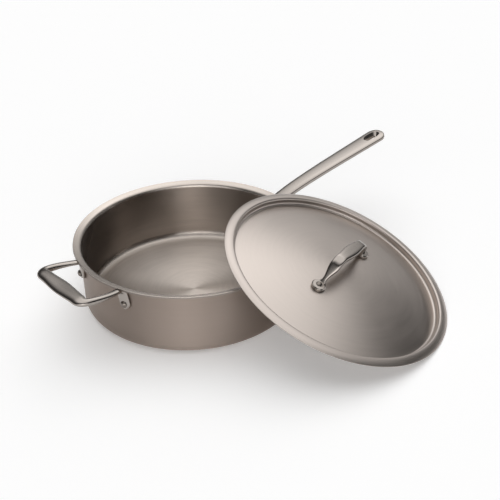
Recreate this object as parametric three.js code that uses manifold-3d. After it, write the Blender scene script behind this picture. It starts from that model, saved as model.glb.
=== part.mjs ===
// Saute pan with a lid, in millimetres, +Z up.
// The origin is the centre of the pan's base on the table, and +X runs along the long handle.
// The lid is off the pan: its low edge stands on the table and its underside leans on the pouring lip.

import * as THREE from 'three';
import { mergeVertices } from 'three/addons/utils/BufferGeometryUtils.js';
import Module from 'manifold-3d';

const wasm = await Module();
wasm.setup();

const radians = THREE.MathUtils.degToRad;

// Pan shell, a drawn sheet of three bonded plies
const WALL_RADIUS = 130.4; // outside of the straight wall
const RIM_HEIGHT = 81.4; // top of the pouring lip above the table
const LIP_WIDTH = 7.6; // how far the lip stands out past the wall
const CORNER_RADIUS = 13; // outside bend from base to wall
const FLARE_RADIUS = 2.8; // outside bend from wall to lip
const FLARE_ANGLE = radians(76); // how far the lip turns out from the wall
const OUTER_PLY = 0.6;
const CORE_PLY = 1.3;
const INNER_PLY = 0.5;
const BOND_GAP = 0.05; // between two plies

// Clearances
const SEAT_GAP = 0.3; // a cast piece to the sheet that it is riveted to
const HOLE_GAP = 0.3; // a rivet shank to its hole
const HEAD_GAP = 0.1; // a rivet head to its seat
const REST_GAP = 0.3; // the leaning lid to the lip
const PLUG_GAP = 0.8; // the closed lid's groove to the inside of the wall

// Rivets
const PAN_SHANK_RADIUS = 2.8;
const PAN_HEAD_RADIUS = 4.2;
const PAN_HEAD_HEIGHT = 2.7;
const LID_SHANK_RADIUS = 2.2;
const LID_HEAD_RADIUS = 3.9;
const LID_HEAD_HEIGHT = 1.9;

// Long handle
const HANDLE_LENGTH = 197.5; // wall to tip
const HANDLE_TIP_RISE = 26.6; // tip of the middle line above the rim
const HANDLE_ROOT_DROP = 10.4; // root of the middle line below the rim
const HANDLE_ROOT_WIDTH = 17.8;
const HANDLE_END_WIDTH = 27.5;
const HANDLE_THICKNESS = 6.8;
const HANG_HOLE_LENGTH = 25.5;
const HANG_HOLE_WIDTH = 13;
const HANG_HOLE_TAPER = 3.7; // how much narrower the hole is below, on each side
const HANG_HOLE_WALL = 6.3; // from the hole to the tip
const PLATE_THICKNESS = 4.2;
const PLATE_WIDTH = 46;
const PLATE_HEIGHT = 42;
const PLATE_DROP = 8.5; // top of the plate below the rim
const PLATE_CORNER = 9;

// Helper handle
const HELPER_REACH = 45.9; // wall to the middle of the bar
const HELPER_SPREAD = 43.3; // end of a leg to the middle of the loop
const HELPER_BOW = 2.3; // how far the middle of a leg bows out
const HELPER_RISE = 1.7; // middle of the bar above the rim
const HELPER_ROOT_DROP = 4.8; // leg below the rim where it meets the wall
const HELPER_CORNER = 9.6; // where the corner's curve starts, before the corner
const HELPER_BEND = 6; // where the curve off the wall starts and ends, from its corner
const HELPER_BAR_WIDTH = 19;
const HELPER_BAR_THICKNESS = 7.1;
const HELPER_CORNER_WIDTH = 14.2;
const HELPER_LEG_WIDTH = 9;
const HELPER_LEG_THICKNESS = 5; // at the wall, growing to the corner's
const HELPER_CORNER_THICKNESS = 7.9;
const HELPER_TAB_WIDTH = 13.6;
const HELPER_TAB_THICKNESS = 4.4;
const HELPER_TAB_BITE = 2; // extra thickness that the wall's curve cuts away
const HELPER_RIVET_ANGLE = radians(18.9); // from the middle of the loop
const HELPER_ROOT_ANGLE = radians(17.4);
const HELPER_RIVET_DROP = 21.4; // rivet below the rim

// Lid
const LID_SHEET = 1;
const DOME_RADIUS = 550; // sphere of the dome's top side
const DOME_RISE = 8.2; // top of the dome above the flange's edge
const GROOVE_RADIUS = 3;
const FLANGE_BEND = 2.6;
const FLANGE_CROWN = 18; // radius of the arched flange
const LID_TILT = radians(24.2);
const LEAN_AZIMUTH = radians(-60.2);

// Lid handle
const LID_HANDLE_TURN = radians(74.4); // from the lid's downhill line
const FOOT_REACH = 50.5; // lid axis to each rivet
const FOOT_RADIUS = 8.3;
const FOOT_HEIGHT = 3.9;
const FOOT_STEP = 1.1; // width and height of the step round a foot's top
const FOOT_SINK = 2; // extra depth that the dome's curve cuts away
const GRIP_HEIGHT = 28.4; // ends of the grip above the feet's seats
const GRIP_ARCH = 1.2; // middle of the grip above its ends
const GRIP_LENGTH = 54.5; // between the corners where the necks meet the grip
const GRIP_BEND = 6; // where each corner's curve starts and ends, from the corner
const GRIP_WIDTH = 16;
const GRIP_END_WIDTH = 12.6;
const GRIP_THICKNESS = 6;
const NECK_WIDTH = 5;
const NECK_THICKNESS = 5;
const NECK_FLARE = 6; // length over which a neck widens into its foot
const NECK_FLARE_WIDTH = 10;

// Shape of the lofts: a higher power gives squarer edges, and a pull is a share of the length and the rise
const HANDLE_EDGE_POWER = 4.5;
const HELPER_EDGE_POWER = 2.6;
const STRAP_EDGE_POWER = 3;
const HOLE_EDGE_POWER = 2.4;
const HANDLE_FIRST_PULL = { length: 0.14, rise: 0.37 };
const HANDLE_LAST_PULL = { length: 0.54, rise: 0.62 };
const END_SWEEP = radians(80); // how far round a rounded end goes before its flat tip

// Facets
const SHELL_SEGMENTS = 48;
const RIVET_SEGMENTS = 12;
const FOOT_SEGMENTS = 20;
const RING_POINTS = 12;
const CORNER_STEPS = 4;
const FLARE_STEPS = 3;
const DOME_STEPS = 5;
const GROOVE_STEPS = 3;
const FLANGE_STEPS = 3;
const FLANGE_BEND_STEPS = 2;
const HEAD_STEPS = 2;
const HANDLE_STEPS = 14;
const END_STEPS = 5;
const PLATE_CORNER_STEPS = 6;
const CUTTER_STEPS = 10;
const CURVE_SPACING = 2.6; // between two rings of a loft where it bends
const LEG_SPACING = 5; // where it bows
const LINE_SPACING = 9; // and where it runs straight
const WELD_DISTANCE = 1e-4;
const HALVINGS = 40; // rounds of the search for the lid's place

// Sizes that follow from those above
const SHEET = OUTER_PLY + CORE_PLY + INNER_PLY + 2 * BOND_GAP;
const LIP_RADIUS = WALL_RADIUS + LIP_WIDTH;
const INNER_RADIUS = WALL_RADIUS - SHEET;
const FACET_SHRINK = Math.cos(Math.PI / SHELL_SEGMENTS); // a facet's middle to its corner
const LID_RADIUS = LIP_RADIUS;
const GROOVE_WALL = INNER_RADIUS - PLUG_GAP - LID_SHEET; // visible wall of the lid's groove
const SEAT_RADIUS = WALL_RADIUS + SEAT_GAP; // inside of the cast pieces on the wall

// Materials, as read from the photograph
function steel(color, roughness) {
  return new THREE.MeshStandardMaterial({ color, roughness, metalness: 1 });
}

// A welded copy of a geometry with positions only and no triangle that has shrunk to a line
function weld(geometry) {
  const bare = geometry.clone();
  bare.deleteAttribute('normal');
  bare.deleteAttribute('uv');
  const merged = mergeVertices(bare, WELD_DISTANCE);
  const kept = [];
  const index = merged.index.array;
  for (let i = 0; i < index.length; i += 3) {
    const [a, b, c] = [index[i], index[i + 1], index[i + 2]];
    if (a !== b && b !== c && c !== a) kept.push(a, b, c);
  }
  merged.setIndex(kept);
  return merged;
}

function toSolid(geometry) {
  const welded = weld(geometry);
  const vertProperties = new Float32Array(welded.attributes.position.array);
  const triVerts = new Uint32Array(welded.index.array);
  return new wasm.Manifold(new wasm.Mesh({ numProp: 3, vertProperties, triVerts }));
}

function toGeometry(solid) {
  const mesh = solid.getMesh();
  const geometry = new THREE.BufferGeometry();
  geometry.setAttribute('position', new THREE.BufferAttribute(mesh.vertProperties, mesh.numProp));
  geometry.setIndex(new THREE.BufferAttribute(mesh.triVerts, 1));
  return geometry;
}

// A profile of (radius, height) points turned about Z
function revolve(profile, segments) {
  const lathe = new THREE.LatheGeometry(profile, segments);
  return weld(lathe.rotateX(Math.PI / 2));
}

// Points on an arc, from one angle to another
function arc(centerX, centerY, radius, from, to, steps) {
  const points = [];
  for (let i = 0; i <= steps; i += 1) {
    const angle = from + ((to - from) * i) / steps;
    points.push(new THREE.Vector2(centerX + radius * Math.cos(angle), centerY + radius * Math.sin(angle)));
  }
  return points;
}

// The pan sheet's line at a depth in from its outside, from the axis to the end of the lip
const FLARE_CENTER = WALL_RADIUS + FLARE_RADIUS;
const LIP_RUN = (LIP_RADIUS - FLARE_CENTER + FLARE_RADIUS * Math.cos(FLARE_ANGLE)) / Math.sin(FLARE_ANGLE);
const LIP_RISE = LIP_RUN * Math.cos(FLARE_ANGLE);
const FLARE_HEIGHT = RIM_HEIGHT - LIP_RISE - (FLARE_RADIUS + SHEET) * Math.sin(FLARE_ANGLE);

function panLine(depth) {
  const cornerCenter = WALL_RADIUS - CORNER_RADIUS;
  const corner = arc(cornerCenter, CORNER_RADIUS, CORNER_RADIUS - depth, -Math.PI / 2, 0, CORNER_STEPS);
  const flareEnd = Math.PI - FLARE_ANGLE;
  const flare = arc(FLARE_CENTER, FLARE_HEIGHT, FLARE_RADIUS + depth, Math.PI, flareEnd, FLARE_STEPS);
  const lipEnd = flare[FLARE_STEPS].clone();
  lipEnd.x += LIP_RUN * Math.sin(FLARE_ANGLE);
  lipEnd.y += LIP_RISE;
  return [new THREE.Vector2(0, depth), ...corner, ...flare, lipEnd];
}

function ply(outerDepth, thickness) {
  return revolve([...panLine(outerDepth), ...panLine(outerDepth + thickness).reverse()], SHELL_SEGMENTS);
}

// The whole pan with its inside filled, grown by the seat gap, to cut the cast pieces to the wall
function panCutter() {
  const line = panLine(-SEAT_GAP);
  const lipEnd = line[line.length - 1];
  const top = RIM_HEIGHT + SEAT_GAP;
  const outside = new THREE.Vector2(lipEnd.x + SEAT_GAP, lipEnd.y);
  const closing = [outside, new THREE.Vector2(outside.x, top), new THREE.Vector2(0, top)];
  return toSolid(revolve([...line, ...closing], SHELL_SEGMENTS));
}

// A loft through rounded-rectangle rings
// Each station has a center, the direction it faces, an up direction, a width and a thickness
function loft(stations, power) {
  const positions = [];
  const index = [];
  const soften = (value) => Math.sign(value) * Math.abs(value) ** (2 / power);
  for (const { center, ahead, up, width, thickness } of stations) {
    const forward = ahead.clone().normalize();
    const level = up.clone().addScaledVector(forward, -up.dot(forward)).normalize();
    const side = new THREE.Vector3().crossVectors(level, forward);
    for (let k = 0; k < RING_POINTS; k += 1) {
      const angle = (2 * Math.PI * k) / RING_POINTS;
      const point = center.clone();
      point.addScaledVector(side, (width / 2) * soften(Math.cos(angle)));
      point.addScaledVector(level, (thickness / 2) * soften(Math.sin(angle)));
      positions.push(...point);
    }
  }
  const last = stations.length - 1;
  const firstCap = positions.length / 3;
  positions.push(...stations[0].center, ...stations[last].center);
  for (let k = 0; k < RING_POINTS; k += 1) {
    const next = (k + 1) % RING_POINTS;
    for (let i = 0; i < last; i += 1) {
      const here = i * RING_POINTS;
      const there = here + RING_POINTS;
      index.push(here + k, here + next, there + next);
      index.push(here + k, there + next, there + k);
    }
    index.push(firstCap, next, k);
    index.push(firstCap + 1, last * RING_POINTS + k, last * RING_POINTS + next);
  }
  const geometry = new THREE.BufferGeometry();
  geometry.setAttribute('position', new THREE.Float32BufferAttribute(positions, 3));
  geometry.setIndex(index);
  return geometry;
}

// Stations along a chain of lines, each with a section at its start, a section at its end and a spacing
function sweep(runs) {
  const stations = [];
  for (const [line, from, to, spacing] of runs) {
    const steps = Math.ceil(line.getLength() / spacing);
    for (let i = 0; i < steps; i += 1) {
      const along = i / steps;
      const blend = THREE.MathUtils.smoothstep(along, 0, 1);
      stations.push({
        center: line.getPoint(along),
        ahead: line.getTangent(along),
        up: from.up.clone().lerp(to.up, blend),
        width: THREE.MathUtils.lerp(from.width, to.width, blend),
        thickness: THREE.MathUtils.lerp(from.thickness, to.thickness, blend),
      });
    }
  }
  return stations;
}

// A cast bridge of two mirrored halves that meet at a middle station
function bridge(half, power) {
  const { stations, middle } = half(1);
  const back = half(-1).stations.reverse();
  for (const station of back) {
    station.ahead.negate();
  }
  return toSolid(loft([...stations, middle, ...back], power));
}

function towards(from, to, distance) {
  return from.clone().addScaledVector(to.clone().sub(from).normalize(), distance);
}

// Stations that round off a loft's end in plan, from the full width out to the tip
function roundedEnd({ center, ahead, up, width, thickness }) {
  const radius = width / 2;
  const stations = [];
  for (let i = 0; i <= END_STEPS; i += 1) {
    const angle = (END_SWEEP * i) / END_STEPS;
    const point = center.clone().addScaledVector(ahead, radius * Math.sin(angle));
    stations.push({ center: point, ahead, up, width: width * Math.cos(angle), thickness });
  }
  return stations;
}

// A cylinder along +X, from one distance to another
function rod(radius, from, to, segments) {
  const cylinder = new THREE.CylinderGeometry(radius, radius, to - from, segments);
  return cylinder.rotateZ(-Math.PI / 2).translate((from + to) / 2, 0, 0);
}

function drill(solid, shankRadius, from, to, place) {
  const radius = (shankRadius + HOLE_GAP) / Math.cos(Math.PI / RIVET_SEGMENTS);
  const hole = rod(radius, from, to, RIVET_SEGMENTS);
  return solid.subtract(toSolid(hole.applyMatrix4(place)));
}

// A rivet along +X: a domed head at each end of a shank, with the heads' seats at two distances
function rivet(shankRadius, headRadius, headHeight, innerSeat, outerSeat) {
  const dome = (headRadius ** 2 + headHeight ** 2) / (2 * headHeight);
  const span = Math.asin(headRadius / dome);
  const innerCenter = innerSeat - headHeight + dome;
  const outerCenter = outerSeat + headHeight - dome;
  const innerHead = arc(0, innerCenter, dome, -Math.PI / 2, -Math.PI / 2 + span, HEAD_STEPS);
  const outerHead = arc(0, outerCenter, dome, Math.PI / 2 - span, Math.PI / 2, HEAD_STEPS);
  innerHead[0].x = 0;
  outerHead[HEAD_STEPS].x = 0;
  const shank = [new THREE.Vector2(shankRadius, innerSeat), new THREE.Vector2(shankRadius, outerSeat)];
  const turned = revolve([...innerHead, ...shank, ...outerHead], RIVET_SEGMENTS);
  return turned.rotateY(Math.PI / 2);
}

// Where the pan's rivets sit: an azimuth, a height and the cast piece's outer face
const HELPER_RIVETS = [-1, 1].map((side) => ({
  name: side < 0 ? 'helper_rivet_far' : 'helper_rivet_near',
  azimuth: Math.PI + side * HELPER_RIVET_ANGLE,
  height: RIM_HEIGHT - HELPER_RIVET_DROP,
  face: SEAT_RADIUS + HELPER_TAB_THICKNESS,
}));
const PLATE_RIVET_INSET = PLATE_CORNER; // each plate rivet sits on a corner's center
const PLATE_RIVET_ANGLE = Math.asin((PLATE_WIDTH / 2 - PLATE_RIVET_INSET) / SEAT_RADIUS);
const PLATE_TOP = RIM_HEIGHT - PLATE_DROP;
const HANDLE_RIVETS = [
  ['handle_rivet_left', PLATE_RIVET_ANGLE, PLATE_TOP - PLATE_RIVET_INSET],
  ['handle_rivet_right', -PLATE_RIVET_ANGLE, PLATE_TOP - PLATE_RIVET_INSET],
  ['handle_rivet_low', 0, PLATE_TOP - PLATE_HEIGHT + PLATE_RIVET_INSET],
].map(([name, azimuth, height]) => ({ name, azimuth, height, face: SEAT_RADIUS + PLATE_THICKNESS }));

function rivetPlace({ azimuth, height }) {
  return new THREE.Matrix4().makeRotationZ(azimuth).setPosition(0, 0, height);
}

function drillForRivets(solid, rivets) {
  const outside = LIP_RADIUS + HANDLE_LENGTH;
  return rivets.reduce(
    (drilled, spot) => drill(drilled, PAN_SHANK_RADIUS, INNER_RADIUS / 2, outside, rivetPlace(spot)),
    solid,
  );
}

function panRivet(spot) {
  const facetMiddle = INNER_RADIUS * FACET_SHRINK;
  const innerSeat = Math.sqrt(facetMiddle ** 2 - PAN_HEAD_RADIUS ** 2) - HEAD_GAP;
  const outerSeat = spot.face + HEAD_GAP;
  return rivet(PAN_SHANK_RADIUS, PAN_HEAD_RADIUS, PAN_HEAD_HEIGHT, innerSeat, outerSeat);
}

// Long handle: a tapering bar that rises from a curved wall plate
function handleBar() {
  const root = new THREE.Vector3(WALL_RADIUS, 0, RIM_HEIGHT - HANDLE_ROOT_DROP);
  const tip = new THREE.Vector3(WALL_RADIUS + HANDLE_LENGTH, 0, RIM_HEIGHT + HANDLE_TIP_RISE);
  const rise = tip.z - root.z;
  const pulls = [HANDLE_FIRST_PULL, HANDLE_LAST_PULL].map(
    (pull) => new THREE.Vector3(root.x + HANDLE_LENGTH * pull.length, 0, root.z + rise * pull.rise),
  );
  const line = new THREE.CubicBezierCurve3(root, ...pulls, tip);
  const roundFrom = 1 - HANDLE_END_WIDTH / 2 / line.getLength();
  const up = new THREE.Vector3(0, 0, 1);
  const stations = [];
  for (let i = 0; i <= HANDLE_STEPS; i += 1) {
    const along = (roundFrom * i) / HANDLE_STEPS;
    stations.push({
      center: line.getPointAt(along),
      ahead: line.getTangentAt(along),
      up,
      width: HANDLE_ROOT_WIDTH + (HANDLE_END_WIDTH - HANDLE_ROOT_WIDTH) * along,
      thickness: HANDLE_THICKNESS,
    });
  }
  const end = stations.pop();
  stations.push(...roundedEnd(end));
  return { bar: toSolid(loft(stations, HANDLE_EDGE_POWER)), end };
}

// The hanging hole narrows downward, as a cast hole does
function hangHole(end) {
  const center = end.center.clone();
  center.addScaledVector(end.ahead, HANDLE_END_WIDTH / 2 - HANG_HOLE_WALL - HANG_HOLE_LENGTH / 2);
  const normal = new THREE.Vector3(-end.ahead.z, 0, end.ahead.x);
  const reach = HANDLE_THICKNESS;
  const slope = HANG_HOLE_TAPER / HANDLE_THICKNESS;
  const stations = [-reach, reach].map((height) => ({
    center: center.clone().addScaledVector(normal, height),
    ahead: normal,
    up: end.ahead,
    width: HANG_HOLE_WIDTH + 2 * slope * (height - HANDLE_THICKNESS / 2),
    thickness: HANG_HOLE_LENGTH + 2 * slope * (height - HANDLE_THICKNESS / 2),
  }));
  return toSolid(loft(stations, HOLE_EDGE_POWER));
}

// Wall plate: a rounded triangle, bent to the wall
function wallPlate() {
  const halfTop = PLATE_WIDTH / 2 - PLATE_CORNER;
  const bottom = PLATE_TOP - PLATE_HEIGHT;
  const lean = Math.atan2(halfTop, PLATE_HEIGHT - 2 * PLATE_CORNER);
  const outline = new THREE.Shape();
  const cornerY = PLATE_TOP - PLATE_CORNER;
  outline.absarc(halfTop, cornerY, PLATE_CORNER, -lean, Math.PI / 2, false);
  outline.absarc(-halfTop, cornerY, PLATE_CORNER, Math.PI / 2, Math.PI + lean, false);
  outline.absarc(0, bottom + PLATE_CORNER, PLATE_CORNER, Math.PI + lean, 2 * Math.PI - lean, false);
  const slab = new THREE.ExtrudeGeometry(outline, {
    depth: LIP_RADIUS,
    bevelEnabled: false,
    curveSegments: PLATE_CORNER_STEPS,
  });
  slab.rotateY(Math.PI / 2).rotateX(Math.PI / 2).translate(WALL_RADIUS / 2, 0, 0);
  const outer = SEAT_RADIUS + PLATE_THICKNESS;
  const ringProfile = [
    new THREE.Vector2(WALL_RADIUS, 0),
    new THREE.Vector2(outer, 0),
    new THREE.Vector2(outer, RIM_HEIGHT),
    new THREE.Vector2(WALL_RADIUS, RIM_HEIGHT),
    new THREE.Vector2(WALL_RADIUS, 0),
  ];
  return toSolid(slab).intersect(toSolid(revolve(ringProfile, SHELL_SEGMENTS)));
}

function longHandle(cutter) {
  const { bar, end } = handleBar();
  const cast = bar.subtract(hangHole(end)).add(wallPlate()).subtract(cutter);
  return toGeometry(drillForRivets(cast, HANDLE_RIVETS));
}

// Helper handle: one cast rod from tab to tab, wide and flat across the bar
function onWall(radius, angle, height) {
  return new THREE.Vector3(radius * Math.cos(angle), radius * Math.sin(angle), height);
}

function helperHalf(side) {
  const tabRadius = SEAT_RADIUS + (HELPER_TAB_THICKNESS - HELPER_TAB_BITE) / 2;
  const rivetAngle = side * HELPER_RIVET_ANGLE;
  const wallward = onWall(-1, rivetAngle, 0);
  const upward = new THREE.Vector3(0, 0, 1);
  const barRadius = WALL_RADIUS + HELPER_REACH;
  const barHeight = RIM_HEIGHT + HELPER_RISE;
  const tabPoint = onWall(tabRadius, rivetAngle, RIM_HEIGHT - HELPER_RIVET_DROP);
  const bend = onWall(tabRadius, side * HELPER_ROOT_ANGLE, RIM_HEIGHT - HELPER_ROOT_DROP);
  const corner = new THREE.Vector3(barRadius, side * HELPER_SPREAD, barHeight);
  const middle = new THREE.Vector3(barRadius, 0, barHeight);
  const bow = bend.clone().lerp(corner, 0.5);
  bow.y += 2 * side * HELPER_BOW;
  const bendIn = towards(bend, tabPoint, HELPER_BEND);
  const bendOut = towards(bend, bow, HELPER_BEND);
  const cornerIn = towards(corner, bow, HELPER_CORNER);
  const cornerOut = towards(corner, middle, HELPER_CORNER);
  const tabThickness = HELPER_TAB_THICKNESS + HELPER_TAB_BITE;
  const tab = { width: HELPER_TAB_WIDTH, thickness: tabThickness, up: wallward };
  const root = { width: HELPER_LEG_WIDTH, thickness: HELPER_LEG_THICKNESS, up: upward };
  const leg = { width: HELPER_LEG_WIDTH, thickness: HELPER_CORNER_THICKNESS, up: upward };
  const turn = { width: HELPER_CORNER_WIDTH, thickness: HELPER_CORNER_THICKNESS, up: upward };
  const bar = { width: HELPER_BAR_WIDTH, thickness: HELPER_BAR_THICKNESS, up: upward };
  const stations = sweep([
    [new THREE.LineCurve3(tabPoint, bendIn), tab, tab, LINE_SPACING],
    [new THREE.QuadraticBezierCurve3(bendIn, bend, bendOut), tab, root, CURVE_SPACING],
    [new THREE.QuadraticBezierCurve3(bendOut, bow, cornerIn), root, leg, LEG_SPACING],
    [new THREE.QuadraticBezierCurve3(cornerIn, corner, cornerOut), leg, turn, CURVE_SPACING],
    [new THREE.LineCurve3(cornerOut, middle), turn, bar, LINE_SPACING],
  ]);
  const [lowEnd] = stations;
  const tail = roundedEnd({ ...lowEnd, ahead: lowEnd.ahead.clone().negate() }).slice(1).reverse();
  for (const station of tail) {
    station.ahead = lowEnd.ahead.clone();
  }
  return {
    stations: [...tail, ...stations],
    middle: { center: middle, ahead: new THREE.Vector3(0, -side, 0), ...bar },
  };
}

function helperHandle(cutter) {
  const loop = bridge(helperHalf, HELPER_EDGE_POWER).rotate([0, 0, 180]);
  return toGeometry(drillForRivets(loop.subtract(cutter), HELPER_RIVETS));
}

// The lid sheet's line at a depth below its top side, from the axis to the flange's edge
const DOME_CENTER = DOME_RISE - DOME_RADIUS;
const GROOVE_CENTER = GROOVE_WALL - GROOVE_RADIUS;
const DOME_EDGE = Math.asin(GROOVE_CENTER / (DOME_RADIUS + GROOVE_RADIUS));
const GROOVE_HEIGHT = DOME_CENTER + (DOME_RADIUS + GROOVE_RADIUS) * Math.cos(DOME_EDGE);
const FLANGE_START = GROOVE_WALL + FLANGE_BEND;
const FLANGE_EDGE = Math.asin((LID_RADIUS - FLANGE_START) / FLANGE_CROWN);
const FLANGE_HEIGHT = FLANGE_CROWN * (1 - Math.cos(FLANGE_EDGE));

function lidLine(depth) {
  const straightUp = Math.PI / 2;
  const dome = arc(0, DOME_CENTER, DOME_RADIUS - depth, straightUp, straightUp - DOME_EDGE, DOME_STEPS);
  dome[0].x = 0;
  const grooveStart = -straightUp - DOME_EDGE;
  const groove = arc(GROOVE_CENTER, GROOVE_HEIGHT, GROOVE_RADIUS + depth, grooveStart, 0, GROOVE_STEPS);
  const bendHeight = FLANGE_HEIGHT - FLANGE_BEND;
  const bend = arc(FLANGE_START, bendHeight, FLANGE_BEND - depth, Math.PI, straightUp, FLANGE_BEND_STEPS);
  const crownHeight = FLANGE_HEIGHT - FLANGE_CROWN;
  const edge = straightUp - FLANGE_EDGE;
  const flange = arc(FLANGE_START, crownHeight, FLANGE_CROWN - depth, straightUp, edge, FLANGE_STEPS);
  return [...dome, ...groove.slice(1), ...bend, ...flange.slice(1)];
}

function domeHeight(radius) {
  return DOME_CENTER + Math.sqrt(DOME_RADIUS ** 2 - radius ** 2);
}

// How the leaning lid stands on the table
const LID_UNDERSIDE = lidLine(LID_SHEET);
const LID_DEPTHS = [...lidLine(0), ...LID_UNDERSIDE].map(
  (point) => point.x * Math.sin(LID_TILT) - point.y * Math.cos(LID_TILT),
);
const LID_STAND = Math.max(...LID_DEPTHS); // the lid's middle above the table

function undersideAt(radius) {
  const next = LID_UNDERSIDE.findIndex((point) => point.x > radius);
  if (next < 0) return Infinity;
  const [from, to] = [LID_UNDERSIDE[next - 1], LID_UNDERSIDE[next]];
  return from.y + ((to.y - from.y) * (radius - from.x)) / (to.x - from.x);
}

// How far the lid's underside stands over the pan's lip, for a lid at a distance from the pan's axis
function lidClearance(distance) {
  const lipEnds = [panLine(0), panLine(SHEET)].map((line) => line[line.length - 1]);
  let least = Infinity;
  for (let i = -SHELL_SEGMENTS; i <= SHELL_SEGMENTS; i += 1) {
    const angle = (i * Math.PI) / 2 / SHELL_SEGMENTS;
    for (const end of lipEnds) {
      const across = end.x * Math.cos(angle) - distance;
      const height = end.y - LID_STAND;
      const downhill = across * Math.cos(LID_TILT) - height * Math.sin(LID_TILT);
      const above = across * Math.sin(LID_TILT) + height * Math.cos(LID_TILT);
      const radius = Math.hypot(downhill, end.x * Math.sin(angle));
      least = Math.min(least, undersideAt(radius) - above);
    }
  }
  return least;
}

function lidDistance() {
  let near = LIP_RADIUS;
  let far = LIP_RADIUS + LID_RADIUS;
  for (let i = 0; i < HALVINGS; i += 1) {
    const middle = (near + far) / 2;
    if (lidClearance(middle) < REST_GAP) near = middle;
    else far = middle;
  }
  return far;
}

// Seats of the lid handle's feet: +X of each seat points out of the dome
const FOOT_LEAN = Math.asin(FOOT_REACH / DOME_RADIUS);
const FOOT_SEATS = [-1, 1].map((side) => ({
  name: side < 0 ? 'lid_rivet_near' : 'lid_rivet_far',
  place: new THREE.Matrix4()
    .makeRotationY(side * FOOT_LEAN - Math.PI / 2)
    .setPosition(side * FOOT_REACH, 0, domeHeight(FOOT_REACH)),
}));

function drillForFeet(solid) {
  return FOOT_SEATS.reduce(
    (drilled, seat) => drill(drilled, LID_SHANK_RADIUS, -GRIP_HEIGHT / 2, GRIP_HEIGHT / 2, seat.place),
    solid,
  );
}

function lidRivet() {
  const innerSeat = -LID_SHEET - SEAT_GAP;
  const outerSeat = SEAT_GAP + FOOT_HEIGHT + HEAD_GAP;
  return rivet(LID_SHANK_RADIUS, LID_HEAD_RADIUS, LID_HEAD_HEIGHT, innerSeat, outerSeat);
}

function lidShell() {
  const profile = [...LID_UNDERSIDE, ...lidLine(0).reverse()];
  const spun = toSolid(revolve(profile, SHELL_SEGMENTS));
  const turned = spun.rotate([0, 0, -THREE.MathUtils.radToDeg(LID_HANDLE_TURN)]);
  return toGeometry(drillForFeet(turned));
}

// Everything under the dome's top side, grown by the seat gap, to cut the feet to the dome
function domeCutter() {
  const reach = 2 * FOOT_REACH;
  const edge = Math.asin(reach / DOME_RADIUS);
  const top = arc(0, DOME_CENTER, DOME_RADIUS + SEAT_GAP, Math.PI / 2 - edge, Math.PI / 2, CUTTER_STEPS);
  top[CUTTER_STEPS].x = 0;
  const floor = domeHeight(reach) - GRIP_HEIGHT;
  const closing = [new THREE.Vector2(0, floor), new THREE.Vector2(top[0].x, floor)];
  return toSolid(revolve([...closing, ...top], SHELL_SEGMENTS));
}

function lidFoot(place) {
  const top = SEAT_GAP + FOOT_HEIGHT;
  const profile = [
    new THREE.Vector2(0, -FOOT_SINK),
    new THREE.Vector2(FOOT_RADIUS, -FOOT_SINK),
    new THREE.Vector2(FOOT_RADIUS, top - FOOT_STEP),
    new THREE.Vector2(FOOT_RADIUS - FOOT_STEP, top),
    new THREE.Vector2(0, top),
  ];
  const turned = revolve(profile, FOOT_SEGMENTS).rotateY(Math.PI / 2);
  return toSolid(turned.applyMatrix4(place));
}

// Lid handle: a strap that is narrow at the necks and wide across the grip
function strapHalf(side) {
  const at = (distance, height) => new THREE.Vector3(side * distance, 0, height);
  const seat = domeHeight(FOOT_REACH);
  const neckReach = FOOT_REACH - FOOT_RADIUS + NECK_THICKNESS / 2;
  const foot = at(neckReach, seat + SEAT_GAP + FOOT_HEIGHT - NECK_THICKNESS / 2);
  const bend = at(GRIP_LENGTH / 2, seat + GRIP_HEIGHT);
  const middle = at(0, seat + GRIP_HEIGHT + GRIP_ARCH);
  const waist = towards(foot, bend, NECK_FLARE);
  const bendIn = towards(bend, foot, GRIP_BEND);
  const bendOut = towards(bend, middle, GRIP_BEND);
  const up = new THREE.Vector3(0, 0, 1);
  const flare = { width: NECK_FLARE_WIDTH, thickness: NECK_THICKNESS, up };
  const neck = { width: NECK_WIDTH, thickness: NECK_THICKNESS, up };
  const shoulder = { width: GRIP_END_WIDTH, thickness: GRIP_THICKNESS, up };
  const grip = { width: GRIP_WIDTH, thickness: GRIP_THICKNESS, up };
  const stations = sweep([
    [new THREE.LineCurve3(foot, waist), flare, neck, CURVE_SPACING],
    [new THREE.LineCurve3(waist, bendIn), neck, shoulder, LINE_SPACING],
    [new THREE.QuadraticBezierCurve3(bendIn, bend, bendOut), shoulder, shoulder, CURVE_SPACING],
    [new THREE.LineCurve3(bendOut, middle), shoulder, grip, LINE_SPACING],
  ]);
  return { stations, middle: { center: middle, ahead: at(-1, 0), ...grip } };
}

function lidHandle() {
  const strap = bridge(strapHalf, STRAP_EDGE_POWER);
  const feet = FOOT_SEATS.map((seat) => lidFoot(seat.place));
  const cast = feet.reduce((joined, foot) => joined.add(foot), strap).subtract(domeCutter());
  return toGeometry(drillForFeet(cast));
}

// Assembly
const pan = new THREE.Group();
const cutter = panCutter();
const panRivets = [...HELPER_RIVETS, ...HANDLE_RIVETS];
const coreDepth = OUTER_PLY + BOND_GAP;
const innerDepth = coreDepth + CORE_PLY + BOND_GAP;

function addNode(group, name, geometry, material) {
  const mesh = new THREE.Mesh(geometry, material);
  mesh.name = name;
  group.add(mesh);
  return mesh;
}

function drilledPly(depth, thickness) {
  return toGeometry(drillForRivets(toSolid(ply(depth, thickness)), panRivets));
}

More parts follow.
